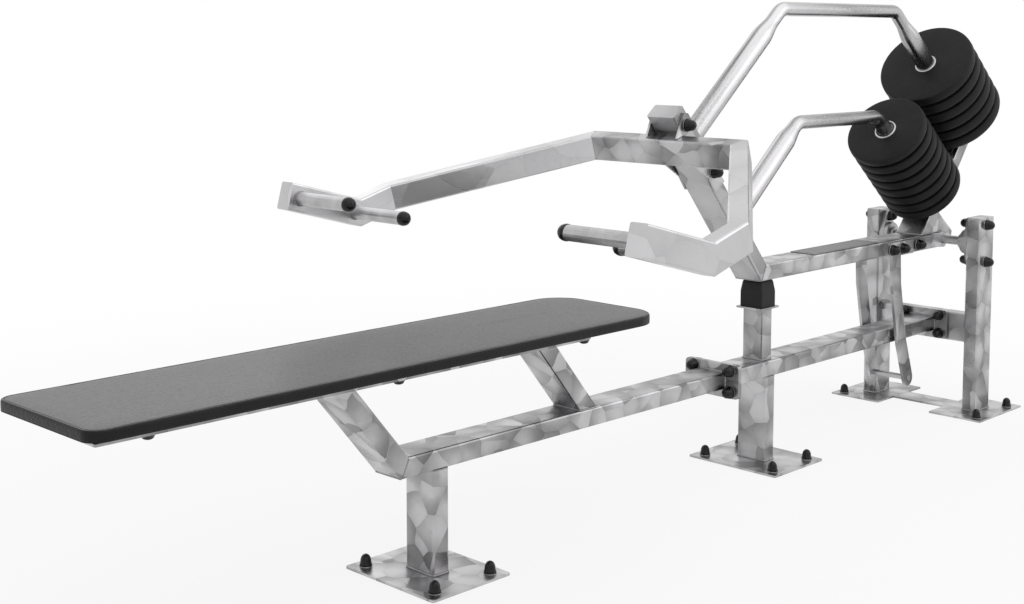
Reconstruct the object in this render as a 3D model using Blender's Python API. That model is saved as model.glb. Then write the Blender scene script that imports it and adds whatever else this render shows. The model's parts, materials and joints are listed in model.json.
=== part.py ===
"""Lever bench press: a flat bench on a steel spine and a weighted lever hinged at the rear posts.

Metres, +Z up.  X runs along the spine from the bench to the weights, Y is across the machine and
the machine is symmetric about Y = 0.  The floor is Z = 0 and the origin lies under the front post.
The lever is drawn in its rest position, lying on the rubber bumper.
"""
import math

import bmesh
import bpy
from mathutils import Vector

# ---- shared sizes ----
GAP = 0.0003                 # space left between pieces that touch
WALL = 0.003                 # wall of every tube
TUBE_W = 0.080               # tubes of the frame and lever, across the machine
TUBE_H = 0.040               # the same tubes, the other way
LEAN = math.radians(50)      # struts, riser and brace lean this far from the floor
PLATE = 0.005                # foot plates and flanges

# ---- bench ----
PAD_X = (-0.795, 0.533)
PAD_HALF = 0.1525
PAD_Z = (0.4386, 0.4590)
SHEET_X = (-0.785, 0.335)
SHEET_HALF = 0.148
SHEET_Z = (0.4338, 0.4383)
PAD_BOLTS_X = (-0.690, -0.188, 0.298)
PAD_BOLT_Y = 0.137
STRUT_REAR_X = 0.4235        # rear strut centre where it leaves the spine

# ---- spine and feet ----
SPINE_Z = (0.212, 0.252)
MITRE_X = -0.0887            # front end of the spine, where the front strut begins
FLANGE_X = 0.907             # joint between the two spine tubes
FLANGE_W = 0.155
FLANGE_H = 0.080
END_FLANGE_X = 1.878
POST_X = 1.0825              # middle post and bumper post
FOOT = (0.202, 0.255)
FOOT_BOLT = (0.072, 0.100)
BOLT_HOLE = 0.0055           # hole radius for the M10 bolts

# ---- bumper ----
BUMPER_POST_TOP = 0.378
BUMPER_PLATE = (0.075, 0.004)
BUMPER = (0.030, 0.032)      # half sizes along X and Y
BUMPER_TOP = 0.4495

# ---- rear posts and pivot ----
REAR_POST_X = (1.864, 1.944)
REAR_POST_Y = (0.1355, 0.1755)
REAR_POST_TOP = 0.541
REAR_FOOT_X = (1.785, 2.024)
REAR_FOOT_Y = (0.080, 0.231)
REAR_STRIP_X = (1.870, 1.948)
PIVOT = Vector((1.900, 0.0, 0.470))
AXLE_R = 0.0125
BORE_R = 0.0128
HUB_R = 0.0235
HUB_HALF = 0.039
BEARING_Y = (0.110, 0.1232, 0.1352)
BEARING_R = 0.034
BEARING_BOLT = 0.051

# ---- lever ----
MIRROR_X = 1.427             # the weight loops, riser and brace mirror about this X
BEAM_Z = 0.470
ELBOW_X = 1.0513             # mitre between beam and riser
RISER_LENGTH = 0.5205
BRACE_LENGTH = 0.427
BEAM_END_X = 1.8762
LABEL_X = (1.270, 1.580)
SIDE_Y = (0.0403, 0.048)
STIRRUP_Y = (0.0483, 0.056)
STIRRUP_W = 0.044
STIRRUP_PATH = ((1.635, 0.449), (1.640, 0.370), (1.672, 0.215), (1.711, 0.107))
STIRRUP_ROD_R = 0.0075
SIDE_BOLTS_X = (1.613, 1.664, 1.762)
SIDE_BOLT_Z = 0.4687

# ---- weight loops and discs ----
INNER_TOP_Z = 0.822
INNER_HALF = 0.187
OUTER_TOP_Z = 1.102
OUTER_HALF = 0.2655
LOOP_R = 0.0175
SLEEVE_R = 0.025             # full-width sleeve on the lower part of every loop leg
BEND_R = 0.050
LEG_ANGLE = math.radians(40)
DISC_BORE = 0.0255
INNER_DISCS = (8, 0.1095, 0.0354, 0.0135)    # count, radius, pitch, first face above the root
OUTER_DISCS = (6, 0.1330, 0.0395, 0.0145)

# ---- handle frame ----
TILT = math.radians(16)
HANDLE_W = 0.040
HANDLE_H = 0.060
CROSS_TOP = Vector((0.7106, 0.0, 0.8108))  # centre of the cross tube's upper face
CORNER_Y = 0.207
FLARE_END = (0.318, 0.491)
FLAT_END_X = 0.2305
ARM_END_X = 0.035
ARM_RISE = math.radians(15)
GRIPS = ((0.0605, 0.6874), (0.211, 0.645))
GRIP_R = 0.015
GRIP_Y = (0.293, 0.4710)
CHEEK_BOLTS = ((0.7395, 0.8388), (0.8405, 0.7274))

X_AXIS = Vector((1, 0, 0))
Y_AXIS = Vector((0, 1, 0))
Z_AXIS = Vector((0, 0, 1))

STEEL = ((0.62, 0.63, 0.64, 1.0), 0.32, 1.0)
ROUND_STEEL = ((0.66, 0.67, 0.68, 1.0), 0.25, 1.0)
RUBBER = ((0.03, 0.03, 0.032, 1.0), 0.6, 0.0)
VINYL = ((0.06, 0.06, 0.065, 1.0), 0.5, 0.0)
CAST = ((0.45, 0.46, 0.47, 1.0), 0.5, 0.9)

for old in list(bpy.data.objects):
    bpy.data.objects.remove(old)


# ---- helpers ----
def material(name, look):
    """One Principled material for one sub-part."""
    colour, roughness, metallic = look
    mat = bpy.data.materials.new(name)
    mat.use_nodes = True
    bsdf = mat.node_tree.nodes["Principled BSDF"]
    bsdf.inputs["Base Color"].default_value = colour
    bsdf.inputs["Roughness"].default_value = roughness
    bsdf.inputs["Metallic"].default_value = metallic
    return mat


def add(name, verts, faces, look, origin=(0, 0, 0), smooth_angle=None):
    """Object from world-space points, its origin moved to the given point."""
    origin = Vector(origin)
    mesh = bpy.data.meshes.new(name)
    mesh.from_pydata([Vector(v) - origin for v in verts], [], faces)
    bm = bmesh.new()
    bm.from_mesh(mesh)
    bmesh.ops.recalc_face_normals(bm, faces=bm.faces)
    if smooth_angle:
        for face in bm.faces:
            face.smooth = True
        for edge in bm.edges:
            edge.smooth = edge.calc_face_angle(0.0) < smooth_angle
    bm.to_mesh(mesh)
    bm.free()
    mesh.materials.append(material(name + "_mat", look))
    ob = bpy.data.objects.new(name, mesh)
    ob.location = origin
    bpy.context.scene.collection.objects.link(ob)
    return ob


def bridge(loops, closed=False, caps=(False, False)):
    """Faces joining rings of equal length; closed joins the last ring to the first."""
    verts = [point for loop in loops for point in loop]
    size = len(loops[0])
    faces = []
    pairs = len(loops) if closed else len(loops) - 1
    for a in range(pairs):
        b = (a + 1) % len(loops)
        for i in range(size):
            j = (i + 1) % size
            faces.append((a * size + i, a * size + j, b * size + j, b * size + i))
    if caps[0]:
        faces.append(tuple(range(size - 1, -1, -1)))
    if caps[1]:
        last = (len(loops) - 1) * size
        faces.append(tuple(last + i for i in range(size)))
    return verts, faces


def rounded_box(half_a, half_b, radius, steps=2):
    """Rectangle outline with rounded corners, anticlockwise."""
    points = []
    for quarter, (sa, sb) in enumerate(((1, 1), (-1, 1), (-1, -1), (1, -1))):
        for step in range(steps + 1):
            angle = math.pi / 2 * (quarter + step / steps)
            points.append((sa * (half_a - radius) + radius * math.cos(angle),
                           sb * (half_b - radius) + radius * math.sin(angle)))
    return points


def circle(radius, count):
    return [(radius * math.cos(2 * math.pi * i / count), radius * math.sin(2 * math.pi * i / count))
            for i in range(count)]


def slide_to(points, direction, plane_point, normal):
    """Push points along a direction onto a plane."""
    return [p + direction * ((plane_point - p).dot(normal) / direction.dot(normal)) for p in points]


def sweep(profile, path, side, normals):
    """Carry a section along straight runs; every station is cut by its own plane."""
    direction = (path[1] - path[0]).normalized()
    up = direction.cross(side).normalized()
    ring = [path[0] + side * a + up * b for a, b in profile]
    rings = [slide_to(ring, direction, path[0], normals[0])]
    for start, end, normal in zip(path, path[1:], normals[1:]):
        rings.append(slide_to(rings[-1], (end - start).normalized(), end, normal))
    return rings


def tube(name, path, side, size, look, origin=(0, 0, 0), ends=(None, None), capped=False):
    """Rectangular tube along a path with mitred bends; a capped tube is closed at its far end."""
    path = [Vector(p) for p in path]
    runs = [(b - a).normalized() for a, b in zip(path, path[1:])]
    normals = [ends[0] or runs[0]]
    normals += [(a + b).normalized() for a, b in zip(runs, runs[1:])]
    normals.append(ends[1] or runs[-1])
    outer = rounded_box(size[0] / 2, size[1] / 2, 0.004)
    inner = rounded_box(size[0] / 2 - WALL, size[1] / 2 - WALL, 0.0015)
    outside = sweep(outer, path, side, normals)
    if capped:
        path = path[:-1] + [path[-1] - runs[-1] * WALL]
        inside = sweep(inner, path, side, normals)
        verts, faces = bridge(inside[::-1] + outside, caps=(True, True))
    else:
        inside = sweep(inner, path, side, normals)
        verts, faces = bridge(outside + inside[::-1], closed=True)
    return add(name, verts, faces, look, origin, math.radians(50))


def place(axis, a, b, depth):
    """Point from two flat coordinates and a depth along the named axis."""
    return Vector({"X": (depth, a, b), "Y": (a, depth, b), "Z": (a, b, depth)}[axis])


def plate(name, outline, axis, low, high, look, origin=(0, 0, 0)):
    """Flat plate: an outline drawn square to the axis, between two depths."""
    loops = [[place(axis, a, b, depth) for a, b in outline] for depth in (low, high)]
    verts, faces = bridge(loops, caps=(True, True))
    return add(name, verts, faces, look, origin)


def lathe(profile, centre, axis, across, count):
    """Rings of (radius, height) about an axis through a centre."""
    other = axis.cross(across)
    return [[centre + axis * height + across * (radius * c) + other * (radius * s)
             for c, s in circle(1.0, count)] for radius, height in profile]


def drill(ob, holes, axis, radius=BOLT_HOLE, sides=12):
    """Cut straight round holes right through a plate."""
    bm = bmesh.new()
    for a, b in holes:
        loops = [[place(axis, a + x, b + y, depth) for x, y in circle(radius, sides)]
                 for depth in (-3.0, 3.0)]
        verts, faces = bridge(loops, caps=(True, True))
        made = [bm.verts.new(v) for v in verts]
        for face in faces:
            bm.faces.new([made[i] for i in face])
    bmesh.ops.recalc_face_normals(bm, faces=bm.faces)
    cutter_mesh = bpy.data.meshes.new("cutter")
    bm.to_mesh(cutter_mesh)
    bm.free()
    cutter = bpy.data.objects.new("cutter", cutter_mesh)
    bpy.context.scene.collection.objects.link(cutter)
    cut = ob.modifiers.new("holes", "BOOLEAN")
    cut.operation = "DIFFERENCE"
    cut.solver = "EXACT"
    cut.object = cutter
    bpy.context.view_layer.update()
    graph = bpy.context.evaluated_depsgraph_get()
    drilled = bpy.data.meshes.new_from_object(ob.evaluated_get(graph))
    ob.modifiers.remove(cut)
    ob.data = drilled
    bpy.data.objects.remove(cutter)


def xz(x, z, y=0.0):
    return Vector((x, y, z))


LEAN_BACK = Vector((-math.cos(LEAN), 0, math.sin(LEAN)))
LEAN_FRONT = Vector((math.cos(LEAN), 0, math.sin(LEAN)))
MITRE = Vector((math.sin(math.radians(65)), 0, -math.cos(math.radians(65))))
SIZE = (TUBE_W, TUBE_H)


# ---- frame ----
def post(name, x, low, high, width=TUBE_W):
    return tube(name, (xz(x, low + GAP), xz(x, high - GAP)), Y_AXIS, (width, TUBE_H), STEEL)


def slab_loops(outline_at, levels):
    """Rings of an outline that shrinks by the given inset at each height."""
    return [[Vector((x, y, z)) for x, y in outline_at(inset)] for z, inset in levels]


def bench_outline(ends, half, radii):
    """Plan of the bench: small corners at the head end, large ones at the lever end."""
    def at(inset):
        points = []
        corners = ((ends[1], 1, 1, radii[1]), (ends[0], -1, 1, radii[0]),
                   (ends[0], -1, -1, radii[0]), (ends[1], 1, -1, radii[1]))
        for quarter, (x, sx, sy, radius) in enumerate(corners):
            cx = x - sx * radius
            cy = sy * (half - radius)
            small = max(radius - inset, 0.0005)
            for step in range(9):
                angle = math.pi / 2 * (quarter + step / 8)
                points.append((cx + small * math.cos(angle), cy + small * math.sin(angle)))
        return points
    return at


def build_bench():
    low, high = PAD_Z
    levels = ((low, 0.002), (low + 0.002, 0), (high - 0.004, 0), (high - 0.0012, 0.0014), (high, 0.005))
    verts, faces = bridge(slab_loops(bench_outline(PAD_X, PAD_HALF, (0.030, 0.075)), levels),
                          caps=(True, True))
    add("bench_pad", verts, faces, VINYL, smooth_angle=math.radians(40))
    sheet = plate("bench_plate", bench_outline(SHEET_X, SHEET_HALF, (0.002, 0.045))(0), "Z",
                  SHEET_Z[0], SHEET_Z[1], STEEL)
    drill(sheet, [(x, side * PAD_BOLT_Y) for x in PAD_BOLTS_X for side in (1, -1)], "Z", 0.0045)
    mid = sum(SPINE_Z) / 2
    top = SHEET_Z[0] - GAP
    start = xz(MITRE_X - GAP / 2, mid)
    rise = (top - mid) / LEAN_BACK.z
    tube("bench_strut_front", (start, start + LEAN_BACK * rise), Y_AXIS, SIZE, STEEL,
         ends=(MITRE, Z_AXIS))
    start = xz(STRUT_REAR_X, SPINE_Z[1] + GAP)
    rise = (top - start.z) / LEAN_BACK.z
    tube("bench_strut_rear", (start, start + LEAN_BACK * rise), Y_AXIS, SIZE, STEEL,
         ends=(Z_AXIS, Z_AXIS))


def build_spine():
    mid = sum(SPINE_Z) / 2
    tube("front_spine", (xz(MITRE_X + GAP / 2, mid), xz(FLANGE_X - 0.006, mid)), Y_AXIS, SIZE,
         STEEL, ends=(MITRE, X_AXIS))
    tube("rear_spine", (xz(FLANGE_X + 0.006, mid), xz(END_FLANGE_X - GAP, mid)), Y_AXIS, SIZE, STEEL)
    outline = [(y, mid + z) for y, z in rounded_box(FLANGE_W / 2, FLANGE_H / 2, 0.010, 4)]
    bolts = [(y, mid + z) for y in (-0.053, 0.053) for z in (-0.0255, 0.0255)]
    spans = (("joint_flange_front", FLANGE_X - 0.0057), ("joint_flange_rear", FLANGE_X + 0.0002),
             ("spine_end_flange", END_FLANGE_X))
    for name, low in spans:
        drill(plate(name, outline, "X", low, low + 0.0055, STEEL), bolts, "X")


def build_feet():
    for name, x in (("front_foot_plate", 0.0), ("middle_foot_plate", POST_X + 0.001)):
        outline = [(x + a, b) for a, b in rounded_box(FOOT[0] / 2, FOOT[1] / 2, 0.004)]
        bolts = [(x + sx * FOOT_BOLT[0], sy * FOOT_BOLT[1]) for sx in (1, -1) for sy in (1, -1)]
        drill(plate(name, outline, "Z", 0.0, PLATE, STEEL), bolts, "Z")
    post("front_post", 0.0, PLATE, SPINE_Z[0])
    post("middle_post", POST_X, PLATE, SPINE_Z[0])
    x0, x1 = REAR_FOOT_X
    s0, s1 = REAR_STRIP_X
    y0, y1 = REAR_FOOT_Y
    half = ((s0, -y0), (s0, y0), (x0, y0), (x0, y1), (x1, y1), (x1, y0), (s1, y0), (s1, -y0))
    other = ((x1, -y0), (x1, -y1), (x0, -y1), (x0, -y0))
    foot = plate("rear_foot_plate", half + other, "Z", 0.0, PLATE, STEEL)
    drill(foot, [(x, side * 0.206) for x in (1.812, 1.988) for side in (1, -1)], "Z")


def build_bumper():
    post("bumper_post", POST_X, SPINE_Z[1], BUMPER_POST_TOP, 0.058)
    size, thick = BUMPER_PLATE
    base = BUMPER_POST_TOP + thick + GAP
    outline = [(POST_X + a, b) for a, b in rounded_box(size / 2, size / 2, 0.003)]
    plate("bumper_plate", outline, "Z", BUMPER_POST_TOP, BUMPER_POST_TOP + thick, STEEL)
    levels = ((base, 0.0), (0.419, 0.0), (0.442, 0.0035), (0.4475, 0.006), (BUMPER_TOP, 0.010))
    loops = [[Vector((POST_X + a, b, z))
              for a, b in rounded_box(BUMPER[0] - inset, BUMPER[1] - inset, 0.005, 3)]
             for z, inset in levels]
    verts, faces = bridge(loops, caps=(True, True))
    add("rubber_bumper", verts, faces, RUBBER, smooth_angle=math.radians(35))


def bearing_outline(count):
    """Two-bolt flange: the hull of the housing circle and two small bolt circles."""
    radii = []
    for i in range(count):
        s = abs(math.sin(2 * math.pi * i / count))
        reach = 0.0
        for k in range(81):
            offset = BEARING_BOLT * k / 80
            radius = BEARING_R + (0.0135 - BEARING_R) * k / 80
            inside = radius ** 2 - offset ** 2 * (1 - s * s)
            if inside > 0:
                reach = max(reach, offset * s + math.sqrt(inside))
        radii.append(reach)
    return radii


def build_rear():
    mid_x = sum(REAR_POST_X) / 2
    mid_y = sum(REAR_POST_Y) / 2
    half = REAR_POST_Y[0] - GAP
    tube("rear_cross_tube", (Vector((1.904, -half, 0.230)), Vector((1.904, half, 0.230))), Z_AXIS,
         SIZE, STEEL)
    count = 28
    flange = bearing_outline(count)
    for label, side in (("left", 1), ("right", -1)):
        ends = (Vector((mid_x, side * mid_y, PLATE + GAP)), Vector((mid_x, side * mid_y, REAR_POST_TOP)))
        tube("rear_post_" + label, ends, X_AXIS, SIZE, STEEL, capped=True)
        front, step, back = (side * y for y in BEARING_Y)
        stations = ((back, BORE_R), (back, flange), (step, flange), (step, BEARING_R - 0.0005),
                    (front + side * 0.002, BEARING_R - 0.001), (front, BEARING_R - 0.003),
                    (front, BORE_R))
        loops = []
        for depth, radius in stations:
            ring = []
            for i, (c, s) in enumerate(circle(1.0, count)):
                r = radius[i] if isinstance(radius, list) else radius
                ring.append(Vector((PIVOT.x + r * c, depth, PIVOT.z + r * s)))
            loops.append(ring)
        verts, faces = bridge(loops, closed=True)
        bearing = add("bearing_" + label, verts, faces, CAST, smooth_angle=math.radians(40))
        drill(bearing, [(PIVOT.x, PIVOT.z + s * BEARING_BOLT) for s in (1, -1)], "Y")


# ---- lever ----
def build_lever_tubes():
    tube("lever_beam", (xz(ELBOW_X + GAP / 2, BEAM_Z), xz(BEAM_END_X, BEAM_Z)), Y_AXIS, SIZE, STEEL,
         PIVOT, (MITRE, X_AXIS))
    start = xz(ELBOW_X - GAP / 2, BEAM_Z)
    tube("riser", (start, start + LEAN_BACK * RISER_LENGTH), Y_AXIS, SIZE, STEEL, PIVOT,
         (MITRE, None), capped=True)
    top = BEAM_Z + TUBE_H / 2 + GAP
    foot_x = 2 * MIRROR_X - ELBOW_X + (top - BEAM_Z) / math.tan(LEAN)
    start = xz(foot_x, top)
    tube("rear_brace", (start, start + LEAN_FRONT * BRACE_LENGTH), Y_AXIS, SIZE, STEEL, PIVOT,
         (Z_AXIS, None), capped=True)
    outline = [(sum(LABEL_X) / 2 + a, b)
               for a, b in rounded_box((LABEL_X[1] - LABEL_X[0]) / 2, 0.036, 0.004)]
    plate("label_plate", outline, "Z", top, top + 0.0015, STEEL, PIVOT)


def build_pivot():
    loops = lathe(((AXLE_R - 0.001, -0.1345), (AXLE_R, -0.1335), (AXLE_R, 0.1335),
                   (AXLE_R - 0.001, 0.1345)), PIVOT, Y_AXIS, X_AXIS, 24)
    verts, faces = bridge(loops, caps=(True, True))
    add("pivot_axle", verts, faces, ROUND_STEEL, PIVOT, math.radians(40))
    loops = lathe(((BORE_R, -HUB_HALF), (HUB_R, -HUB_HALF), (HUB_R, HUB_HALF), (BORE_R, HUB_HALF)),
                  PIVOT, Y_AXIS, X_AXIS, 24)
    verts, faces = bridge(loops, closed=True)
    add("hub_tube", verts, faces, ROUND_STEEL, PIVOT, math.radians(40))


def arc_about_pivot(radius, first, last, steps=10):
    """Points on a circle round the pivot, angles in degrees from +X toward +Z."""
    points = []
    for k in range(steps + 1):
        angle = math.radians(first + (last - first) * k / steps)
        points.append((PIVOT.x + radius * math.cos(angle), PIVOT.z + radius * math.sin(angle)))
    return points


def stirrup_outline():
    """Bar with a wide bolted head, following its bent centre line to a round lower end."""
    left = []
    right = []
    path = [Vector(p) for p in STIRRUP_PATH]
    for i, point in enumerate(path):
        before = path[max(i - 1, 0)]
        after = path[min(i + 1, len(path) - 1)]
        along = (after - before).normalized()
        across = Vector((-along.y, along.x)) * (STIRRUP_W / 2)
        right.append(tuple(point + across))
        left.append(tuple(point - across))
    along = (path[-1] - path[-2]).normalized()
    across = Vector((-along.y, along.x))
    end = []
    for k in range(1, 8):
        angle = math.pi * k / 8
        end.append(tuple(path[-1] + (across * math.cos(angle) + along * math.sin(angle)) * (STIRRUP_W / 2)))
    head = [(1.591, 0.4505), (1.591, 0.4875), (1.722, 0.4875), (1.722, 0.4505)]
    return head + [(right[0][0], 0.4505)] + right[1:] + end + left[:0:-1] + [(left[0][0], 0.4505)]


def build_lever_plates():
    brace_back = ((1.8470, 0.4908), (1.8905, 0.5428))
    gusset = list(brace_back) + [(1.965, 0.486), (1.960, 0.470)]
    gusset += arc_about_pivot(HUB_R + GAP, 0, 119)
    side = [(1.790, 0.4875), (1.593, 0.4875), (1.593, 0.4505)] + arc_about_pivot(0.0225, -120, 120, 16)
    stirrup = stirrup_outline()
    head_bolts = [(x, SIDE_BOLT_Z) for x in SIDE_BOLTS_X]
    spans = (("gusset_", gusset, (0.030, 0.038)), ("side_plate_", side, SIDE_Y),
             ("stirrup_bar_", stirrup, STIRRUP_Y))
    for label, sign in (("left", 1), ("right", -1)):
        made = {name: plate(name + label, outline, "Y", sign * span[0], sign * span[1], STEEL, PIVOT)
                for name, outline, span in spans}
        drill(made["side_plate_"], [(PIVOT.x, PIVOT.z)], "Y", BORE_R, 24)
        drill(made["side_plate_"], head_bolts, "Y")
        drill(made["stirrup_bar_"], [STIRRUP_PATH[-1]], "Y", STIRRUP_ROD_R + GAP, 20)
        drill(made["stirrup_bar_"], head_bolts[:2], "Y")
    reach = STIRRUP_Y[1] + 0.0015
    loops = lathe(((STIRRUP_ROD_R, -reach), (STIRRUP_ROD_R, reach)),
                  xz(*STIRRUP_PATH[-1]), Y_AXIS, X_AXIS, 20)
    verts, faces = bridge(loops, caps=(True, True))
    add("stirrup_rod", verts, faces, ROUND_STEEL, PIVOT, math.radians(40))


def loop_stations(half, top, cone):
    """Centre line and radius of one weight loop, from its front root to its rear root."""
    corner = xz(MIRROR_X - half, top)
    leg = Vector((math.cos(LEG_ANGLE), 0, math.sin(LEG_ANGLE)))
    length = (corner - xz(ELBOW_X, BEAM_Z)).dot(leg) - TUBE_H / 2 - GAP
    root = corner - leg * length
    tangent = BEND_R * math.tan(LEG_ANGLE / 2)
    stations = [(root, SLEEVE_R, leg)]
    stations.append((root + leg * cone[0], SLEEVE_R, leg))
    stations.append((root + leg * cone[1], LOOP_R, leg))
    centre = corner - leg * tangent + Vector((math.sin(LEG_ANGLE), 0, -math.cos(LEG_ANGLE))) * BEND_R
    for k in range(5):
        angle = LEG_ANGLE * (1 - k / 4)
        along = Vector((math.cos(angle), 0, math.sin(angle)))
        out = Vector((-math.sin(angle), 0, math.cos(angle)))
        stations.append((centre + out * BEND_R, LOOP_R, along))
    mirrored = []
    for point, radius, along in stations[::-1]:
        mirrored.append((xz(2 * MIRROR_X - point.x, point.z), radius, Vector((along.x, 0, -along.z))))
    return stations + mirrored


def rear_leg(half, top):
    """Root of a loop's rear leg on the brace and the direction up the leg."""
    root, _, along = loop_stations(half, top, (0.1, 0.2))[-1]
    return root, -along


def build_loop(name, half, top, cone):
    loops = []
    inner = []
    for point, radius, along in loop_stations(half, top, cone):
        up = Vector((-along.z, 0, along.x))
        ring = circle(1.0, 20)
        loops.append([point + up * (radius * c) + Y_AXIS * (radius * s) for c, s in ring])
        hollow = radius - WALL
        inner.append([point + up * (hollow * c) + Y_AXIS * (hollow * s) for c, s in ring])
    verts, faces = bridge(loops + inner[::-1], closed=True)
    add(name, verts, faces, ROUND_STEEL, PIVOT, math.radians(40))


def build_discs(name, half, top, stack):
    count, radius, pitch, first = stack
    root, up = rear_leg(half, top)
    thick = pitch - GAP
    profile = ((DISC_BORE, 0.0), (radius - 0.009, 0.0), (radius - 0.002, 0.009), (radius, thick / 2),
               (radius - 0.001, thick - 0.005), (radius - 0.0045, thick), (DISC_BORE, thick))
    for k in range(count):
        centre = root + up * (first + pitch * (count - 1 - k))
        verts, faces = bridge(lathe(profile, centre, up, Y_AXIS, 28), closed=True)
        add("%s_disc_%d" % (name, k + 1), verts, faces, RUBBER, centre, math.radians(35))


# ---- handle frame ----
def build_handles():
    down = Vector((-math.cos(TILT), 0, -math.sin(TILT)))
    normal = Vector((-math.sin(TILT), 0, math.cos(TILT)))
    centre = CROSS_TOP - normal * (HANDLE_H / 2)
    across_arm = math.radians(35)
    mitre_angle = math.radians(90 - 35) / 2
    size = (HANDLE_H, HANDLE_W)
    corner_normal = Y_AXIS * math.cos(mitre_angle) + down * math.sin(mitre_angle)
    mirror_normal = Vector((corner_normal.x, -corner_normal.y, corner_normal.z))
    reach = CORNER_Y - GAP
    tube("handle_crossbar", (centre - Y_AXIS * reach, centre + Y_AXIS * reach), normal, size, STEEL,
         PIVOT, (-mirror_normal, corner_normal))
    flare = (down * math.cos(across_arm) + Y_AXIS * math.sin(across_arm))
    corner = centre + Y_AXIS * (CORNER_Y + GAP)
    bend_run = (FLARE_END[1] - CORNER_Y) / math.sin(across_arm)
    bend = corner + flare * bend_run
    level = bend + down * ((bend.x - FLAT_END_X) / math.cos(TILT))
    rise = Vector((-math.cos(ARM_RISE), 0, math.sin(ARM_RISE)))
    end = level + rise * ((level.x - ARM_END_X) / math.cos(ARM_RISE))
    cheek = [(0.7302, 0.8172), (0.7045, 0.8100), (0.718, 0.842), (0.728, 0.8665), (0.742, 0.8655),
             (0.880, 0.7035), (0.849, 0.6805), (0.826, 0.712), (0.7469, 0.7587)]
    for label, sign in (("left", 1), ("right", -1)):
        path = [Vector((p.x, sign * p.y, p.z)) for p in (corner, bend, level, end)]
        start = corner_normal if sign > 0 else mirror_normal
        tube("arm_" + label, path, normal, size, STEEL, PIVOT, (start, None), capped=True)
        side = plate("cheek_" + label, cheek, "Y", sign * 0.0403, sign * 0.046, STEEL, PIVOT)
        drill(side, CHEEK_BOLTS, "Y")
        for place_name, (x, z) in zip(("front", "back"), GRIPS):
            near, far = GRIP_Y
            profile = ((GRIP_R, far), (GRIP_R, near + 0.014), (GRIP_R - 0.002, near + 0.006),
                       (GRIP_R - 0.006, near + 0.0015), (GRIP_R - 0.011, near))
            loops = lathe(profile, xz(x, z), Y_AXIS * sign, X_AXIS, 20)
            verts, faces = bridge(loops, caps=(True, True))
            add("grip_%s_%s" % (place_name, label), verts, faces, ROUND_STEEL, PIVOT,
                math.radians(50))


build_bench()
build_spine()
build_feet()
build_bumper()
build_rear()
build_lever_tubes()
build_pivot()
build_lever_plates()
build_loop("inner_horn", INNER_HALF, INNER_TOP_Z, (0.282, 0.328))
build_loop("outer_horn", OUTER_HALF, OUTER_TOP_Z, (0.366, 0.418))
build_discs("inner", INNER_HALF, INNER_TOP_Z, INNER_DISCS)
build_discs("outer", OUTER_HALF, OUTER_TOP_Z, OUTER_DISCS)
build_handles()
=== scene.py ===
"""Looks of the lever bench press: materials, seams, welds, bolts, light and camera."""

import json
import math

import bmesh
import bpy
from mathutils import Matrix, Vector, noise


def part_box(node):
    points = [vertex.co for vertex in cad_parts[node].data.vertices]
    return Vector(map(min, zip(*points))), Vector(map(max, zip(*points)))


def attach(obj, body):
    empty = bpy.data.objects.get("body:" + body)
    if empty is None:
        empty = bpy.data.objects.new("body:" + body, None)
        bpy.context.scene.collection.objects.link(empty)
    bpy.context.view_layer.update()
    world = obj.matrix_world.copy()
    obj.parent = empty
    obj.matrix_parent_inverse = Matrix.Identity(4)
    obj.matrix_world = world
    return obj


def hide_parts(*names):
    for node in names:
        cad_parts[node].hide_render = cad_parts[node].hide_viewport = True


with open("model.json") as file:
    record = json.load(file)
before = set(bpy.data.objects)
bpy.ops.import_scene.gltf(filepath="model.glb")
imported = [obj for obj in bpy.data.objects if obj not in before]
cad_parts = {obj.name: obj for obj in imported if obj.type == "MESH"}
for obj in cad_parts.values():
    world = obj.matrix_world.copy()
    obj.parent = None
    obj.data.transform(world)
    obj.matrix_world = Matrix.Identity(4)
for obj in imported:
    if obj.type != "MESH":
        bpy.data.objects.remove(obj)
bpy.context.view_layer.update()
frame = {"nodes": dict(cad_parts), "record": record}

X_AXIS = Vector((1, 0, 0))
Y_AXIS = Vector((0, 1, 0))
Z_AXIS = Vector((0, 0, 1))
SIDES = ((1, "left"), (-1, "right"))

# ---- shared sizes, in metres ----
LEAN = math.radians(50)                   # struts, riser and brace, from the floor
LEG = math.radians(40)                    # legs of the weight loops, from the floor
FRONT_LEG_UP = Vector((math.cos(LEG), 0, math.sin(LEG)))
REAR_LEG_UP = Vector((-math.cos(LEG), 0, math.sin(LEG)))
MIRROR_X = 1.427                          # the loops, riser and brace mirror about this X
ELBOW = Vector((1.0513, 0, 0.470))        # mitre between the lever's beam and its riser
PIVOT = Vector((1.900, 0, 0.470))
TUBE_LIFT = 0.0203                        # from a tube's centre line to what stands on it
MITRE = math.radians(65)                  # slope of the mitred joints
POST_X = 1.0825                           # middle post and bumper post
REAR_POST = Vector((1.904, 0.1555, 0))
SPINE_Z = 0.232
PLATE_TOP = 0.005                         # upper face of the foot plates
SHEET_LOW = 0.4337                        # underside of the sheet below the pad
FLANGES = (0.9013, 0.9127, 1.878)         # outer faces of the joint flanges and of the end flange
GRIPS = (("front", (0.0605, 0.6874)), ("back", (0.211, 0.645)))
LOOPS = (("inner", 0.187, 0.822, (0.282, 0.328)),      # half length, height and where the sleeve
         ("outer", 0.2655, 1.102, (0.366, 0.418)))     # narrows, measured from the leg's root
SLEEVE_R = 0.025
LOOP_R = 0.0175
LOOP_BEND = 0.050
DISCS = {"inner": (8, 0.1095, 0.0354, 0.0135),         # count, radius, pitch, first face's height
         "outer": (6, 0.1330, 0.0395, 0.0145)}
DISC_BORE = 0.0256


# ---- materials ----
HALF = (0.5, 0.5, 0.5)
ZERO = (0, 0, 0)


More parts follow.
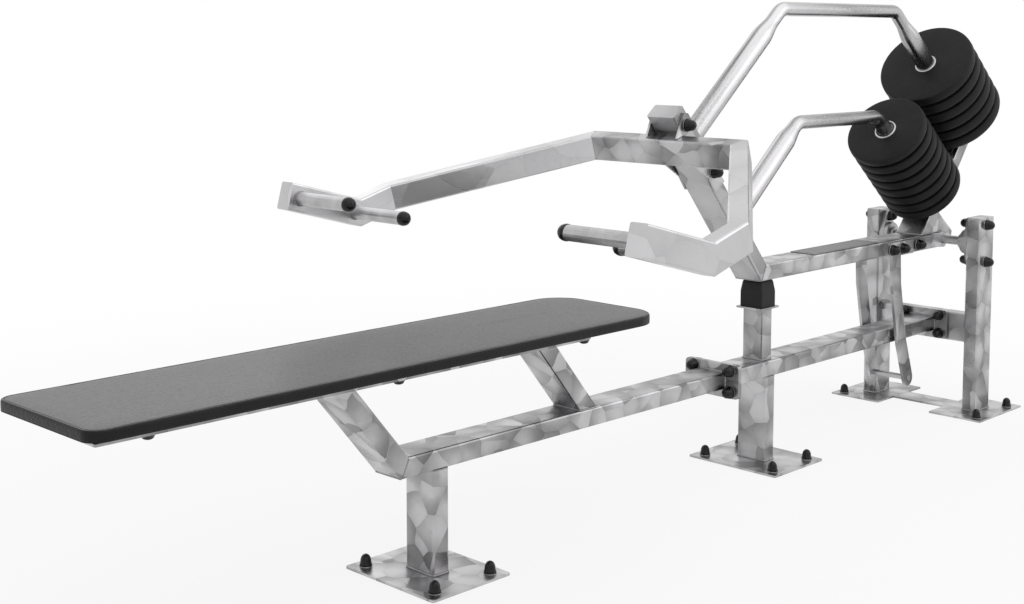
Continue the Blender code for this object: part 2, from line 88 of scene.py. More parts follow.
class Nodes:
    """Short names for building one material's node tree."""

    def __init__(self, name):
        self.mat = bpy.data.materials.new(name)
        self.mat.use_nodes = True
        self.tree = self.mat.node_tree
        self.shader = self.tree.nodes["Principled BSDF"]
        self.coords = self.new("ShaderNodeTexCoord").outputs["Object"]

    def new(self, kind, **settings):
        node = self.tree.nodes.new(kind)
        for key, value in settings.items():
            setattr(node, key, value)
        return node

    def link(self, source, target):
        self.tree.links.new(source, target)

    def feed(self, node, **inputs):
        for key, value in inputs.items():
            socket = node.inputs[key.replace("_", " ")]
            if hasattr(value, "is_output"):
                self.link(value, socket)
            else:
                socket.default_value = value
        return node

    def math(self, operation, a, b=0.0):
        node = self.new("ShaderNodeMath", operation=operation)
        for socket, value in zip(node.inputs, (a, b)):
            if hasattr(value, "is_output"):
                self.link(value, socket)
            else:
                socket.default_value = value
        return node.outputs[0]

    def vector(self, operation, a, b):
        node = self.new("ShaderNodeVectorMath", operation=operation)
        for socket, value in zip(node.inputs, (a, b)):
            if hasattr(value, "is_output"):
                self.link(value, socket)
            else:
                socket.default_value = value
        return node

    def around_zero(self, value, span):
        """A value that varies about a half, moved to vary about zero over the given span."""
        return self.math("MULTIPLY", self.math("SUBTRACT", value, 0.5), span)

    def noise(self, scale, detail=3.0, coords=None):
        node = self.new("ShaderNodeTexNoise")
        return self.feed(node, Vector=coords or self.coords, Scale=scale, Detail=detail)

    def ramp(self, value, stops):
        node = self.new("ShaderNodeValToRGB")
        self.link(value, node.inputs["Fac"])
        elements = node.color_ramp.elements
        while len(elements) < len(stops):
            elements.new(0.5)
        for element, (at, grey) in zip(elements, stops):
            element.position = at
            element.color = (grey * 1.004, grey * 0.990, grey * 1.008, 1)
        return node.outputs["Color"]

    def bump(self, height, strength, distance, normal=None):
        node = self.feed(self.new("ShaderNodeBump"), Height=height, Strength=strength, Distance=distance)
        if normal:
            self.link(normal, node.inputs["Normal"])
        return node.outputs["Normal"]


def swirled_steel(name, scale, low, high, tilt, roughness):
    """Stainless steel ground in overlapping fans: each patch has its own direction and shade."""
    n = Nodes(name)
    warp = n.noise(7.0, 2.0).outputs["Color"]
    offset = n.vector("SCALE", n.vector("SUBTRACT", warp, HALF).outputs[0], ZERO)
    offset.inputs["Scale"].default_value = 0.05
    place = n.vector("ADD", n.coords, offset.outputs[0]).outputs[0]
    cells = n.feed(n.new("ShaderNodeTexVoronoi"), Vector=place, Scale=scale, Randomness=0.9)
    away = n.vector("SUBTRACT", place, cells.outputs["Position"]).outputs[0]
    heading = n.vector("SUBTRACT", cells.outputs["Color"], HALF).outputs[0]
    heading = n.vector("NORMALIZE", heading, ZERO).outputs[0]
    toward = n.vector("NORMALIZE", away, ZERO).outputs[0]
    fan = n.vector("DOT_PRODUCT", toward, heading).outputs["Value"]
    slope = n.vector("DOT_PRODUCT", away, heading).outputs["Value"]
    reach = n.vector("LENGTH", away, ZERO).outputs["Value"]
    split = n.new("ShaderNodeSeparateColor")
    n.link(cells.outputs["Color"], split.inputs[0])
    # each patch darkens toward its edge and to one side, over a shade of its own
    crescent = n.math("MULTIPLY", n.math("MULTIPLY", reach, scale), -0.46)
    fan = n.math("MULTIPLY", fan, 0.24)
    patch = n.around_zero(split.outputs[0], 0.20)
    mottle = n.around_zero(n.noise(48.0, 4.0).outputs["Fac"], 0.24)
    broad = n.around_zero(n.noise(3.2, 2.0).outputs["Fac"], 0.5)
    shade = n.math("ADD", n.math("ADD", crescent, 0.78), n.math("ADD", fan, patch))
    shade = n.math("ADD", shade, n.math("ADD", mottle, broad))
    stops = ((0.0, low), (0.4, low * 0.55 + high * 0.45), (0.75, high * 0.92), (1.0, high))
    n.link(n.ramp(shade, stops), n.shader.inputs["Base Color"])
    rough = n.math("ADD", n.math("MULTIPLY", split.outputs[1], 0.12), roughness)
    n.link(rough, n.shader.inputs["Roughness"])
    lines = n.math("SINE", n.math("MULTIPLY", reach, 2400.0))
    fine = n.bump(lines, 0.08, 0.0004)
    n.link(n.bump(slope, 1.0, tilt, fine), n.shader.inputs["Normal"])
    n.shader.inputs["Metallic"].default_value = 1.0
    return n.mat


def brushed_steel(name, low, high, roughness):
    """Round tube and bar with a fine scratched grain and cloudy brightness."""
    n = Nodes(name)
    cloud = n.noise(26.0, 4.0).outputs["Fac"]
    grain = n.noise(420.0, 2.0).outputs["Fac"]
    shade = n.math("ADD", cloud, n.around_zero(grain, 0.4))
    n.link(n.ramp(shade, ((0.25, low), (0.75, high))), n.shader.inputs["Base Color"])
    n.link(n.math("ADD", n.math("MULTIPLY", cloud, 0.2), roughness), n.shader.inputs["Roughness"])
    n.link(n.bump(grain, 0.18, 0.0005), n.shader.inputs["Normal"])
    n.shader.inputs["Metallic"].default_value = 1.0
    return n.mat


def reflection_streaked_steel(name, low, high, roughness):
    """Polished tube with painted reflection streaks that run along the loop, which lies across the Y
    axis: dark and bright bands in the base colour stand in for the surroundings a polished tube
    reflects.
    """
    n = Nodes(name)
    # painted reflection: noise stretched along the tube makes dark and bright bands round it in the base
    # colour
    flat = n.vector("MULTIPLY", n.coords, (1.6, 75.0, 1.6)).outputs[0]
    painted_reflection_streak = n.noise(1.0, 3.0, flat).outputs["Fac"]
    grain = n.noise(380.0, 2.0).outputs["Fac"]
    shade = n.math("ADD", painted_reflection_streak, n.around_zero(grain, 0.35))
    n.link(n.ramp(shade, ((0.3, low), (0.5, low * 0.3 + high * 0.7), (0.7, high))),
           n.shader.inputs["Base Color"])
    n.link(n.math("ADD", n.math("MULTIPLY", painted_reflection_streak, 0.14), roughness), n.shader.inputs["Roughness"])
    n.link(n.bump(grain, 0.15, 0.0005), n.shader.inputs["Normal"])
    n.shader.inputs["Metallic"].default_value = 1.0
    return n.mat


def rubber(name, low, high, roughness, grain=700.0, level=0.25):
    """Dark rubber or plastic with cloudy shade and a fine grain."""
    n = Nodes(name)
    cloud = n.noise(38.0, 5.0).outputs["Fac"]
    fine = n.noise(grain, 3.0).outputs["Fac"]
    n.link(n.ramp(cloud, ((0.3, low), (0.7, high))), n.shader.inputs["Base Color"])
    n.link(n.math("ADD", n.math("MULTIPLY", cloud, 0.15), roughness), n.shader.inputs["Roughness"])
    n.link(n.bump(fine, 0.25, 0.0006), n.shader.inputs["Normal"])
    n.shader.inputs["Specular IOR Level"].default_value = level
    return n.mat


def vinyl(name, level, grain):
    """Black upholstery vinyl: pebble grain with a soft sheen."""
    n = Nodes(name)
    warped = n.noise(150.0, 2.0)
    pebbles = n.feed(n.new("ShaderNodeTexVoronoi", feature="SMOOTH_F1"), Vector=n.coords, Scale=240.0)
    height = n.math("ADD", n.math("MULTIPLY", pebbles.outputs["Distance"], -1.0),
                    n.math("MULTIPLY", warped.outputs["Fac"], 0.8))
    cloud = n.noise(14.0, 3.0).outputs["Fac"]
    n.link(n.ramp(cloud, ((0.3, 0.007), (0.7, 0.013))), n.shader.inputs["Base Color"])
    n.link(n.math("ADD", n.math("MULTIPLY", pebbles.outputs["Distance"], 0.12), 0.28),
           n.shader.inputs["Roughness"])
    n.link(n.bump(height, grain, 0.0011), n.shader.inputs["Normal"])
    n.shader.inputs["Specular IOR Level"].default_value = level
    return n.mat


STEEL = swirled_steel("swirled_steel_look", 17.0, 0.14, 0.56, 0.09, 0.25)
ARM = swirled_steel("arm_steel_look", 9.0, 0.47, 0.66, 0.03, 0.24)
RISER = swirled_steel("riser_steel_look", 9.0, 0.22, 0.48, 0.03, 0.26)
ROUND = brushed_steel("round_steel_look", 0.34, 0.54, 0.24)
# the loops' base colour carries painted reflection streaks
LOOP = reflection_streaked_steel("loop_steel_look", 0.20, 0.60, 0.20)
BAR = brushed_steel("plate_steel_look", 0.30, 0.46, 0.28)
CAST = brushed_steel("bearing_look", 0.34, 0.50, 0.34)
WELD = brushed_steel("weld_look", 0.24, 0.42, 0.34)
LABEL = brushed_steel("label_look", 0.20, 0.26, 0.42)
DISC = rubber("disc_look", 0.006, 0.013, 0.50, 500.0, 0.20)
BUMPER = rubber("bumper_look", 0.012, 0.020, 0.50)
CAP = rubber("cap_look", 0.0025, 0.004, 0.16, 900.0, 0.30)
VINYL = vinyl("vinyl_look", 0.50, 0.20)
VINYL_SIDE = vinyl("vinyl_side_look", 0.20, 0.45)
PIPING = rubber("piping_look", 0.006, 0.010, 0.40)

slot_looks = {"vinyl": VINYL, "disc_rubber": DISC, "bumper_rubber": BUMPER, "bearing_housing": CAST,
              "round_steel": ROUND, "swirled_steel": STEEL}
node_slots = {s["node"]: s["material_slot"] for s in frame["record"]["subparts"]}
own_looks = {"label_plate": LABEL, "riser": RISER, "arm_left": ARM, "arm_right": ARM}
for node, ob in frame["nodes"].items():
    look = own_looks.get(node, slot_looks[node_slots[node]])
    ob.data.materials.clear()
    ob.data.materials.append(look)


# ---- mesh helpers ----
def smooth_mesh(name, verts, faces, smooth):
    """Mesh with outward normals, smooth except at edges sharper than the given angle."""
    mesh = bpy.data.meshes.new(name)
    mesh.from_pydata([tuple(v) for v in verts], [], faces)
    bm = bmesh.new()
    bm.from_mesh(mesh)
    bmesh.ops.recalc_face_normals(bm, faces=bm.faces)
    for face in bm.faces:
        face.smooth = True
    for edge in bm.edges:
        edge.smooth = edge.calc_face_angle(0.0) < smooth
    bm.to_mesh(mesh)
    bm.free()
    return mesh


def mesh_object(name, verts, faces, looks, body, smooth=math.radians(40), face_looks=()):
    """Piece from world-space points; face_looks holds each face's place in the list of looks."""
    mesh = smooth_mesh(name, verts, faces, smooth)
    for look in looks:
        mesh.materials.append(look)
    for face, index in zip(mesh.polygons, face_looks):
        face.material_index = index
    return place_object(name, mesh, Matrix.Identity(4), body)


def place_object(name, mesh, matrix, body):
    ob = bpy.data.objects.new(name, mesh)
    bpy.context.scene.collection.objects.link(ob)
    ob.matrix_world = matrix
    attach(ob, body)
    return ob


def bridge(loops, closed=False, caps=(False, False)):
    """Quads between loops of equal size, closed back to the first or capped at either end."""
    verts = [point for loop in loops for point in loop]
    size = len(loops[0])
    faces = []
    pairs = len(loops) if closed else len(loops) - 1
    for a in range(pairs):
        b = (a + 1) % len(loops)
        for i in range(size):
            j = (i + 1) % size
            faces.append((a * size + i, a * size + j, b * size + j, b * size + i))
    if caps[0]:
        faces.append(tuple(range(size - 1, -1, -1)))
    if caps[1]:
        faces.append(tuple((len(loops) - 1) * size + i for i in range(size)))
    return verts, faces


def lathe(profile, count, centre=Vector(), axis=Z_AXIS, across=X_AXIS):
    """Loops that turn a profile of (radius, height) pairs about an axis."""
    other = axis.cross(across)
    loops = []
    for radius, height in profile:
        ring = []
        for i in range(count):
            angle = 2 * math.pi * i / count
            out = across * math.cos(angle) + other * math.sin(angle)
            ring.append(centre + axis * height + out * radius)
        loops.append(ring)
    return loops


def xz(x, z, y=0.0):
    return Vector((x, y, z))


def leg_root(half, top, side, lift=TUBE_LIFT):
    """Where a loop's leg meets the riser (side -1) or the brace (side 1), and the way up the leg."""
    corner = xz(MIRROR_X + side * half, top)
    elbow = ELBOW if side < 0 else xz(2 * MIRROR_X - ELBOW.x, ELBOW.z)
    leg = FRONT_LEG_UP if side < 0 else REAR_LEG_UP
    return corner - leg * ((corner - elbow).dot(leg) - lift), leg


# ---- bench pad ----
PAD_LOW, PAD_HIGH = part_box("bench_pad")
PAD_TOP = PAD_HIGH.z
PAD_SIDES = (12, 72, 16)     # points along a corner, a long side and a short side
HEAD_CORNER = 0.030
FOOT_CORNER = 0.075
SEAM = 0.0012                # the seam at the top edge lies this far below the top
SIDE_BANDS = 7               # bands of faces below the rounded top edge
TOP_INSETS = (0.009, 0.014, 0.021, 0.030, 0.042, 0.058, 0.078, 0.102, 0.128)


def pad_outline(inset):
    """Rounded plan with small corners at the head end; every ring has the same number of points."""
    corner_count, long_count, short_count = PAD_SIDES
    x0, x1 = PAD_LOW.x + inset, PAD_HIGH.x - inset
    half = PAD_HIGH.y - inset
    corners = ((x1, half, 1, 1, FOOT_CORNER), (x0, half, -1, 1, HEAD_CORNER),
               (x0, -half, -1, -1, HEAD_CORNER), (x1, -half, 1, -1, FOOT_CORNER))
    arcs = []
    for quarter, (x, y, sx, sy, radius) in enumerate(corners):
        radius = max(radius - inset, 0.002)
        arc = []
        for k in range(corner_count + 1):
            angle = math.pi / 2 * (quarter + k / corner_count)
            arc.append(Vector((x - sx * radius + radius * math.cos(angle),
                               y - sy * radius + radius * math.sin(angle), 0)))
        arcs.append(arc)
    points = []
    for index, arc in enumerate(arcs):
        after = arcs[(index + 1) % 4][0]
        count = long_count if index % 2 == 0 else short_count
        points += arc
        points += [arc[-1].lerp(after, k / count) for k in range(1, count)]
    return points


def cover_lift(point, inset):
    """Small waves of the cover: tight puckers by the seam and slow ones over the top."""
    lift = 0.0
    if 0.005 < inset < 0.05:
        pull = noise.noise(Vector((point.x * 34, point.y * 34, 0.3)))
        lift = 0.0006 * pull * math.exp(-(inset - 0.006) / 0.02)
    if inset > 0.02:
        lift += 0.0004 * noise.noise(Vector((point.x * 7, point.y * 9, 4.1)))
    return lift


def build_pad():
    """Cushion from rings of (inset, height): the side, the rounded top edge, its seam, the top."""
    low = PAD_LOW.z
    stations = [(0.006, low), (0.0022, low + 0.0003), (0.0005, low + 0.0018), (0.0, low + 0.0050),
                (0.0, PAD_TOP - 0.0060), (0.0003, PAD_TOP - 0.0036), (0.0012, PAD_TOP - 0.0018),
                (0.0026, PAD_TOP - 0.0010), (0.0046, PAD_TOP - SEAM), (0.0056, PAD_TOP - 0.0020),
                (0.0066, PAD_TOP - SEAM)]
    for inset in TOP_INSETS:
        rise = 1 - math.exp(-(inset - 0.006) / 0.010)
        stations.append((inset, PAD_TOP - SEAM + SEAM * rise))
    loops = []
    for inset, height in stations:
        ring = []
        for point in pad_outline(inset):
            level = min(height + cover_lift(point, inset), PAD_TOP + 0.0005)
            ring.append(Vector((point.x, point.y, level)))
        loops.append(ring)
    verts, faces = bridge(loops, caps=(True, True))
    side_faces = SIDE_BANDS * len(loops[0])
    looks = [1 if index < side_faces else 0 for index in range(len(faces))]
    pad = mesh_object("pad_cover", verts, faces, [VINYL, VINYL_SIDE], "frame",
                      math.radians(70), looks)
    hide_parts("bench_pad")
    for name, inset, height, radius in (("pad_seam_top", 0.0056, PAD_TOP - 0.0019, 0.0007),
                                        ("pad_seam_bottom", 0.0012, low + 0.0016, 0.0012)):
        path = [Vector((p.x, p.y, height)) for p in pad_outline(inset)]
        cord(name, path, radius, [PIPING], "frame", 8)


RIPPLE_LENGTH = 0.0055       # from one ripple of a weld bead to the next


def cord(name, path, radius, looks, body, sides=6, ripple=0.0):
    """Closed bead or piping: a small round section carried along a closed path."""
    count = len(path)
    loops = []
    travelled = 0.0
    for i, point in enumerate(path):
        before = path[i - 1]
        after = path[(i + 1) % count]
        along = (after - before).normalized()
        side = along.cross(Z_AXIS if abs(along.z) < 0.9 else X_AXIS).normalized()
        up = side.cross(along)
        travelled += (point - before).length
        size = radius * (1 + ripple * math.sin(travelled * 2 * math.pi / RIPPLE_LENGTH))
        loops.append([point + side * (size * math.cos(2 * math.pi * k / sides))
                      + up * (size * math.sin(2 * math.pi * k / sides)) for k in range(sides)])
    verts, faces = bridge(loops, closed=True)
    return mesh_object(name, verts, faces, looks, body, math.radians(180))


# ---- welds ----
BEAD_STEP = 0.0018           # between the points along a bead
BEAD = 0.0021
THIN_BEAD = 0.0013
RIPPLE = 0.28
SLANT = X_AXIS * (0.0205 / math.sin(LEAN))             # half of a leaning tube's level section
MITRE_SLOPE = Vector((math.cos(MITRE), 0, math.sin(MITRE)))
MITRE_HALVES = (MITRE_SLOPE * (0.0199 / math.sin(MITRE)), Y_AXIS * 0.0399)


def weld_rectangle(name, centre, half_a, half_b, body, radius=BEAD):
    """Rippled bead round a rectangular tube's end; the half sizes are vectors in its plane."""
    cut = 0.004
    corners = []
    for sa, sb in ((1, 1), (-1, 1), (-1, -1), (1, -1)):
        corner = centre + half_a * sa + half_b * sb
        toward_a = half_a.normalized() * (cut * sa)
        toward_b = half_b.normalized() * (cut * sb)
        pair = [corner - toward_b, corner - toward_a]
        corners += pair if sa * sb > 0 else pair[::-1]
    path = []
    for i, start in enumerate(corners):
        end = corners[(i + 1) % len(corners)]
        count = max(int((end - start).length / BEAD_STEP), 2)
        path += [start.lerp(end, k / count) for k in range(count)]
    return cord(name, path, radius, [WELD], body, 6, RIPPLE)


def weld_ring(name, centre, axis, ring_radius, radius=BEAD):
    """Rippled bead round a tube or bar on the lever."""
    across = axis.orthogonal().normalized()
    other = axis.cross(across)
    count = max(int(2 * math.pi * ring_radius / BEAD_STEP), 24)
    path = []
    for k in range(count):
        angle = 2 * math.pi * k / count
        path.append(centre + (across * math.cos(angle) + other * math.sin(angle)) * ring_radius)
    return cord(name, path, radius, [WELD], "lever", 6, RIPPLE)


def build_frame_welds():
    x20, y40 = X_AXIS * 0.0205, Y_AXIS * 0.0405
    x40, y20 = X_AXIS * 0.0405, Y_AXIS * 0.0205
    for label, x in (("front", 0.0), ("middle", POST_X)):
        weld_rectangle(label + "_post_foot_weld", xz(x, 0.0062), x20, y40, "frame")
        weld_rectangle(label + "_post_top_weld", xz(x, 0.2115), x20, Y_AXIS * 0.0395, "frame", 0.0014)
    for label, z in (("foot", 0.2535), ("top", 0.3768)):
        weld_rectangle("bumper_post_%s_weld" % label, xz(POST_X, z), x20, Y_AXIS * 0.0295, "frame")
    for side, label in SIDES:
        centre = xz(REAR_POST.x, 0.0062, side * REAR_POST.y)
        weld_rectangle("rear_post_foot_weld_" + label, centre, x40, y20, "frame")
        centre = xz(REAR_POST.x, 0.230, side * 0.1342)
        weld_rectangle("cross_tube_weld_" + label, centre, x20, Z_AXIS * 0.0405, "frame")
    for label, x in (("front", 0.9), ("rear", 0.914), ("end", 1.8768)):
        weld_rectangle("spine_flange_weld_" + label, xz(x, SPINE_Z), y40, Z_AXIS * 0.0205, "frame")
    weld_rectangle("rear_strut_weld", xz(0.4235, 0.2532), SLANT, y40, "frame")
    for label, x in (("front", -0.2585), ("rear", 0.2711)):
        weld_rectangle(label + "_strut_top_weld", xz(x, 0.4338), SLANT, y40, "frame", 0.0016)
    weld_rectangle("front_strut_weld", xz(-0.0887, SPINE_Z), *MITRE_HALVES, "frame", THIN_BEAD)


def build_lever_welds():
    weld_rectangle("riser_weld", ELBOW, *MITRE_HALVES, "lever", THIN_BEAD)
    weld_rectangle("brace_weld", xz(1.8195, 0.4912), SLANT, Y_AXIS * 0.0405, "lever")
    for label, half, top, _ in LOOPS:
        for side, end in ((-1, "front"), (1, "rear")):
            root, leg = leg_root(half, top, side, 0.0212)
            weld_ring("%s_loop_weld_%s" % (label, end), root, leg, 0.0256)
    for side, label in SIDES:
        for name, (x, z) in GRIPS:
            weld_ring("grip_weld_%s_%s" % (name, label), xz(x, z, side * 0.4702), Y_AXIS, 0.0155, 0.0017)
        centre = xz(PIVOT.x, PIVOT.z, side * 0.0392)
        weld_ring("hub_weld_" + label, centre, Y_AXIS, 0.0222, 0.0010)


# ---- bolts ----
CAP_PROFILE = ((0.0002, 0.0236), (0.0036, 0.0231), (0.0068, 0.0216), (0.0094, 0.0192),
               (0.0113, 0.0160), (0.0123, 0.0122), (0.0129, 0.0064), (0.0139, 0.0052),
               (0.0143, 0.0040), (0.0143, 0.0016), (0.0138, 0.0011))
WASHER_PROFILE = ((0.0148, 0.0010), (0.0150, 0.0007), (0.0150, 0.0001), (0.0002, 0.0001))
WASHER_TOP = 0.00105
FULL = (1.0, 1.0, 1.0)
FOOT_CAP = (0.86, 0.86, 1.02)
LOW_CAP = (0.78, 0.78, 0.36)
THIN_NUT = (0.62, 0.62, 0.22)
FOOT_BOLT_X = (0.072, -0.072)
FOOT_BOLT_Y = (0.100, -0.100)
PAD_BOLTS = ((-0.690, -0.188, 0.298), 0.137)           # places along X, and the distance from Y = 0
REAR_FOOT_BOLTS = ((1.812, 1.988), 0.206)
FLANGE_BOLT_Y = 0.053
FLANGE_BOLTS_Z = (0.2575, 0.2065)
BEARING_BOLTS_Z = (0.521, 0.419)
BEARING_FACES = (0.1755, 0.1232)                       # outer face of the post, face of the bearing
SIDE_PLATE_BOLTS = ((1.613, 0.056), (1.664, 0.056), (1.762, 0.048))
CHEEK_BOLTS = ((0.7395, 0.8388), (0.8405, 0.7274))
CHEEK_FACE = 0.046


def cap_mesh():
    """Domed cap nut on a steel washer, standing on Z = 0."""
    verts, faces = bridge(lathe(CAP_PROFILE + WASHER_PROFILE, 28), caps=(True, True))
    mesh = smooth_mesh("cap_nut", verts, faces, math.radians(45))
    for face in mesh.polygons:
        face.material_index = 1 if face.center.z < WASHER_TOP else 0
    mesh.materials.append(CAP)
    mesh.materials.append(BAR)
    return mesh


def frame_bolts(side):
    """Cap nuts of one side of the frame, each as (body, place, direction, scale)."""
    places, y = REAR_FOOT_BOLTS
    spots = [("frame", xz(x, PLATE_TOP, side * y), Z_AXIS, FOOT_CAP) for x in places]
    places, y = PAD_BOLTS
    spots += [("frame", xz(x, SHEET_LOW, side * y), -Z_AXIS, LOW_CAP) for x in places]
    for z in FLANGE_BOLTS_Z:
        for x, direction in zip(FLANGES, (-X_AXIS, X_AXIS, -X_AXIS)):
            spots.append(("frame", xz(x, z, side * FLANGE_BOLT_Y), direction, FULL))
    for z in BEARING_BOLTS_Z:
        for y, direction in zip(BEARING_FACES, (Y_AXIS * side, -Y_AXIS * side)):
            spots.append(("frame", xz(PIVOT.x, z, side * y), direction, FULL))
    return spots


def lever_bolts(side):
    """Cap nuts of one side of the lever; the left cheek plate has thin nuts."""
    outward = Y_AXIS * side
    spots = [("lever", xz(x, 0.4687, side * y), outward, FULL) for x, y in SIDE_PLATE_BOLTS]
    nut = FULL if side < 0 else THIN_NUT
    return spots + [("lever", xz(x, z, side * CHEEK_FACE), outward, nut) for x, z in CHEEK_BOLTS]


def build_bolts():
    mesh = cap_mesh()
    spots = []
    for centre in (0.0, 1.0835):
        spots += [("frame", xz(centre + x, PLATE_TOP, y), Z_AXIS, FOOT_CAP)
                  for x in FOOT_BOLT_X for y in FOOT_BOLT_Y]
    for side, _ in SIDES:
        spots += frame_bolts(side) + lever_bolts(side)
    for index, (body, spot, direction, scale) in enumerate(spots):
        turn = direction.to_track_quat("Z", "Y").to_matrix().to_4x4()
        matrix = Matrix.Translation(spot) @ turn @ Matrix.Diagonal((*scale, 1.0))
        place_object("cap_nut_%02d" % (index + 1), mesh, matrix, body)


# ---- discs and loops ----
def disc_profile(radius, thick):
    """Cross-section of one disc: steel ring, flat face, bulging side and a deep undercut below."""
    half = thick / 2
    ring = [(DISC_BORE, half - 0.0002), (0.0278, half - 0.0002), (0.0288, half - 0.0009),
            (0.0298, half - 0.0017), (0.0316, half - 0.0008)]
    undercut = [(0.0175, 0.0008), (0.0150, 0.0014), (0.0085, 0.0052), (0.0045, 0.0082),
                (0.0022, 0.0108), (0.0008, 0.0145)]
    edge = [(0.0012, 0.0050), (0.0022, 0.0030), (0.0040, 0.0014), (0.0064, 0.0008)]
    side = [(radius - inward, -half + above) for inward, above in undercut]
    side += [(radius, 0.0), (radius - 0.0004, half * 0.45)]
    side += [(radius - inward, half - below) for inward, below in edge]
    return [(r, -h) for r, h in ring] + side + ring[::-1]


def build_discs():
    sides = 96
    for label, half, top, _ in LOOPS:
        count, radius, pitch, first = DISCS[label]
        root, up = leg_root(half, top, 1)
        profile = disc_profile(radius, pitch - 0.0004)
        verts, faces = bridge(lathe(profile, sides), closed=True)
        bands = len(profile)
        looks = []
        for band in range(bands):
            looks += [1 if band < 3 or band > bands - 5 else 0] * sides
        turn = up.to_track_quat("Z", "Y").to_matrix().to_4x4()
        for k in range(count):
            centre = root + up * (first + pitch * (count - 1 - k) + pitch / 2)
            node = "%s_disc_%d" % (label, k + 1)
            matrix = Matrix.Translation(centre) @ turn
            placed = [matrix @ v for v in verts]
            ob = mesh_object(node + "_rubber", placed, faces, [DISC, ROUND], node,
                             math.radians(50), looks)
            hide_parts(node)


def loop_path(half, top, cone):
    """Stations (point, radius, direction) of one weight loop, front root to rear root."""
    corner = xz(MIRROR_X - half, top)
    root, leg = leg_root(half, top, -1)
    tangent = LOOP_BEND * math.tan(LEG / 2)
    stations = [(root, SLEEVE_R, leg), (root + leg * cone[0], SLEEVE_R, leg)]
    steps = 12
    for k in range(1, steps + 1):
        t = k / steps
        ease = t * t * (3 - 2 * t)
        reach = cone[0] + (cone[1] - cone[0]) * t
        radius = SLEEVE_R + (LOOP_R - SLEEVE_R) * (0.35 * ease + 0.65 * t)
        stations.append((root + leg * reach, radius, leg))
    centre = corner - leg * tangent + Vector((math.sin(LEG), 0, -math.cos(LEG))) * LOOP_BEND
    for k in range(steps + 1):
        angle = LEG * (1 - k / steps)
        out = Vector((-math.sin(angle), 0, math.cos(angle)))
        along = Vector((math.cos(angle), 0, math.sin(angle)))
        stations.append((centre + out * LOOP_BEND, LOOP_R, along))
    mirrored = []
    for point, radius, along in stations[::-1]:
        mirrored.append((xz(2 * MIRROR_X - point.x, point.z), radius, Vector((along.x, 0, -along.z))))
    return stations + mirrored


def build_loops():
    wall = 0.003
    turns = [2 * math.pi * k / 48 for k in range(48)]
    for label, half, top, cone in LOOPS:
        outer = []
        inner = []
        for point, radius, along in loop_path(half, top, cone):
            up = Vector((-along.z, 0, along.x))
            for loops, r in ((outer, radius), (inner, radius - wall)):
                loops.append([point + up * (r * math.cos(a)) + Y_AXIS * (r * math.sin(a))
                              for a in turns])
        verts, faces = bridge(outer + inner[::-1], closed=True)
        ob = mesh_object(label + "_loop_tube", verts, faces, [LOOP], "lever",
                         math.radians(45))
        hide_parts(label + "_horn")


# ---- grips, bearings, label ----
def build_grips():
    cap = ((0.0150, 0.0050), (0.0156, 0.0044), (0.0159, 0.0030), (0.0160, 0.0), (0.0155, -0.0035),
           (0.0139, -0.0085), (0.0110, -0.0120), (0.0066, -0.0146), (0.0002, -0.0156))
    for side, label in SIDES:
        for name, (x, z) in GRIPS:
            loops = lathe(cap, 32, xz(x, z, side * 0.3075), Y_AXIS * side)
            verts, faces = bridge(loops, caps=(True, True))
            mesh_object("grip_cap_%s_%s" % (name, label), verts, faces, [CAP], "lever")


def build_bearings():
    """Locking collars on the axle, on the inner side of each bearing."""
    bore = 0.0127
    collar = ((bore, 0.0), (0.0195, 0.0), (0.0205, -0.001), (0.0205, -0.009), (0.0195, -0.010),
              (bore, -0.010))
    for side, label in SIDES:
        centre = xz(PIVOT.x, PIVOT.z, side * 0.110)
        verts, faces = bridge(lathe(collar, 48, centre, Y_AXIS * side), closed=True)
        mesh_object("bearing_collar_" + label, verts, faces, [ROUND], "lever")


def build_label():
    """Raised line round the bare label plate."""
    margin = 0.006
    low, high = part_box("label_plate")
    centre = (low + high) / 2
    centre.z = high.z + 0.0001
    path = []
    half_x, half_y = (high.x - low.x) / 2 - margin, (high.y - low.y) / 2 - margin
    corners = [centre + Vector((sx * half_x, sy * half_y, 0)) for sx, sy in
               ((1, 1), (-1, 1), (-1, -1), (1, -1))]
    for i, start in enumerate(corners):
        end = corners[(i + 1) % 4]
        path += [start.lerp(end, k / 20) for k in range(20)]
    cord("label_border", path, 0.0005, [WELD], "lever", 6)


build_pad()
build_frame_welds()
build_lever_welds()
build_bolts()
build_discs()
build_loops()
build_grips()
build_bearings()
build_label()


# ---- floor, light, camera ----
def background(nodes, links, shade, out_socket, lit):
    """Camera, glossy and transmission rays see the background; other rays see the lit surface."""
    path = nodes.new("ShaderNodeLightPath")
    seen = path.outputs["Is Camera Ray"]
    for ray in ("Is Glossy Ray", "Is Transmission Ray"):
        either = nodes.new("ShaderNodeMath")
        either.operation = "MAXIMUM"
        links.new(seen, either.inputs[0])
        links.new(path.outputs[ray], either.inputs[1])
        seen = either.outputs[0]
    if shade:
        scale = nodes.new("ShaderNodeMath")
        scale.operation = "MULTIPLY"
        links.new(seen, scale.inputs[0])
        links.new(shade, scale.inputs[1])
        seen = scale.outputs[0]
    mix = nodes.new("ShaderNodeMixShader")
    links.new(seen, mix.inputs[0])
    links.new(lit.outputs[0], mix.inputs[1])
    links.new(mix.outputs[0], out_socket)
    return mix


def build_world():
    world = bpy.data.worlds.new("studio")
    bpy.context.scene.world = world
    world.use_nodes = True
    nodes = world.node_tree.nodes
    links = world.node_tree.links
    lit = nodes["Background"]
    lit.inputs["Color"].default_value = (1, 1, 1, 1)
    lit.inputs["Strength"].default_value = 0.55
    white = nodes.new("ShaderNodeBackground")
    white.inputs["Color"].default_value = (1, 1, 1, 1)
    white.inputs["Strength"].default_value = 1.0
    mix = background(nodes, links, None, nodes["World Output"].inputs["Surface"], lit)
    links.new(white.outputs[0], mix.inputs[2])


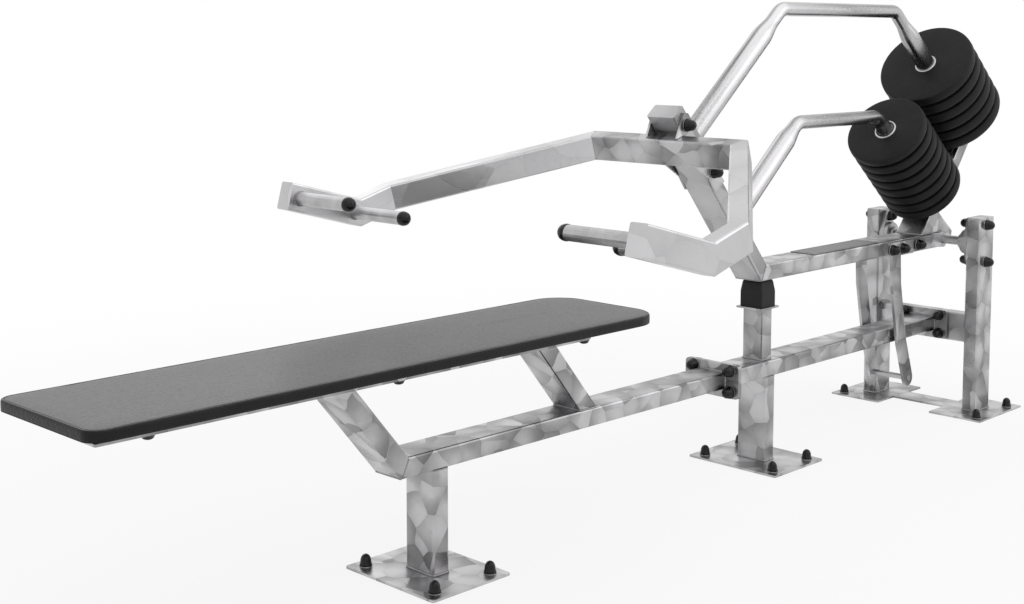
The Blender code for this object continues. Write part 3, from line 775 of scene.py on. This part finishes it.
def build_floor():
    mesh = bpy.data.meshes.new("floor")
    size = 40.0
    mesh.from_pydata([(-size, -size, 0), (size, -size, 0), (size, size, 0), (-size, size, 0)], [],
                     [(0, 1, 2, 3)])
    mat = bpy.data.materials.new("floor_look")
    mat.use_nodes = True
    nodes = mat.node_tree.nodes
    links = mat.node_tree.links
    lit = nodes["Principled BSDF"]
    lit.inputs["Base Color"].default_value = (0.88, 0.88, 0.88, 1)
    lit.inputs["Roughness"].default_value = 1.0
    lit.inputs["Specular IOR Level"].default_value = 0.0
    glow = nodes.new("ShaderNodeEmission")
    glow.inputs["Color"].default_value = (1, 1, 1, 1)
    coords = nodes.new("ShaderNodeTexCoord")
    away = nodes.new("ShaderNodeVectorMath")
    away.operation = "LENGTH"
    links.new(coords.outputs["Object"], away.inputs[0])
    fade = nodes.new("ShaderNodeMapRange")
    fade.interpolation_type = "SMOOTHSTEP"
    for name, value in (("From Min", 0.9), ("From Max", 3.2), ("To Min", 0.84), ("To Max", 1.0)):
        fade.inputs[name].default_value = value
    links.new(away.outputs["Value"], fade.inputs["Value"])
    mix = background(nodes, links, fade.outputs[0], nodes["Material Output"].inputs["Surface"], lit)
    links.new(glow.outputs[0], mix.inputs[2])
    mesh.materials.append(mat)
    floor = bpy.data.objects.new("floor", mesh)
    floor.location = (0.5, 0, -0.0005)
    bpy.context.scene.collection.objects.link(floor)


def area_light(name, spot, target, size, power):
    data = bpy.data.lights.new(name, "AREA")
    data.shape = "RECTANGLE"
    data.size, data.size_y = size
    data.energy = power
    lamp = bpy.data.objects.new(name, data)
    lamp.location = spot
    lamp.rotation_euler = (Vector(target) - Vector(spot)).to_track_quat("-Z", "Y").to_euler()
    bpy.context.scene.collection.objects.link(lamp)


def build_camera():
    data = bpy.data.cameras.new("camera")
    data.sensor_width = 36.0
    data.lens = 51.75
    data.shift_y = -0.129
    data.dof.use_dof = False
    camera = bpy.data.objects.new("camera", data)
    camera.location = (-1.8542, -2.0734, 1.0359)
    camera.rotation_euler = Vector((0.7065, 0.7019, -0.0905)).to_track_quat("-Z", "Y").to_euler()
    bpy.context.scene.collection.objects.link(camera)
    bpy.context.scene.camera = camera


build_world()
build_floor()
area_light("key", (0.6, -1.2, 3.4), (0.7, 0, 0.4), (6.0, 4.5), 48)
area_light("fill", (3.2, -3.0, 2.2), (1.0, 0, 0.5), (3.0, 2.4), 18)
area_light("rim", (1.2, 3.4, 2.8), (0.8, 0, 0.5), (3.6, 2.4), 14)
build_camera()
bpy.context.scene.view_settings.view_transform = "Standard"
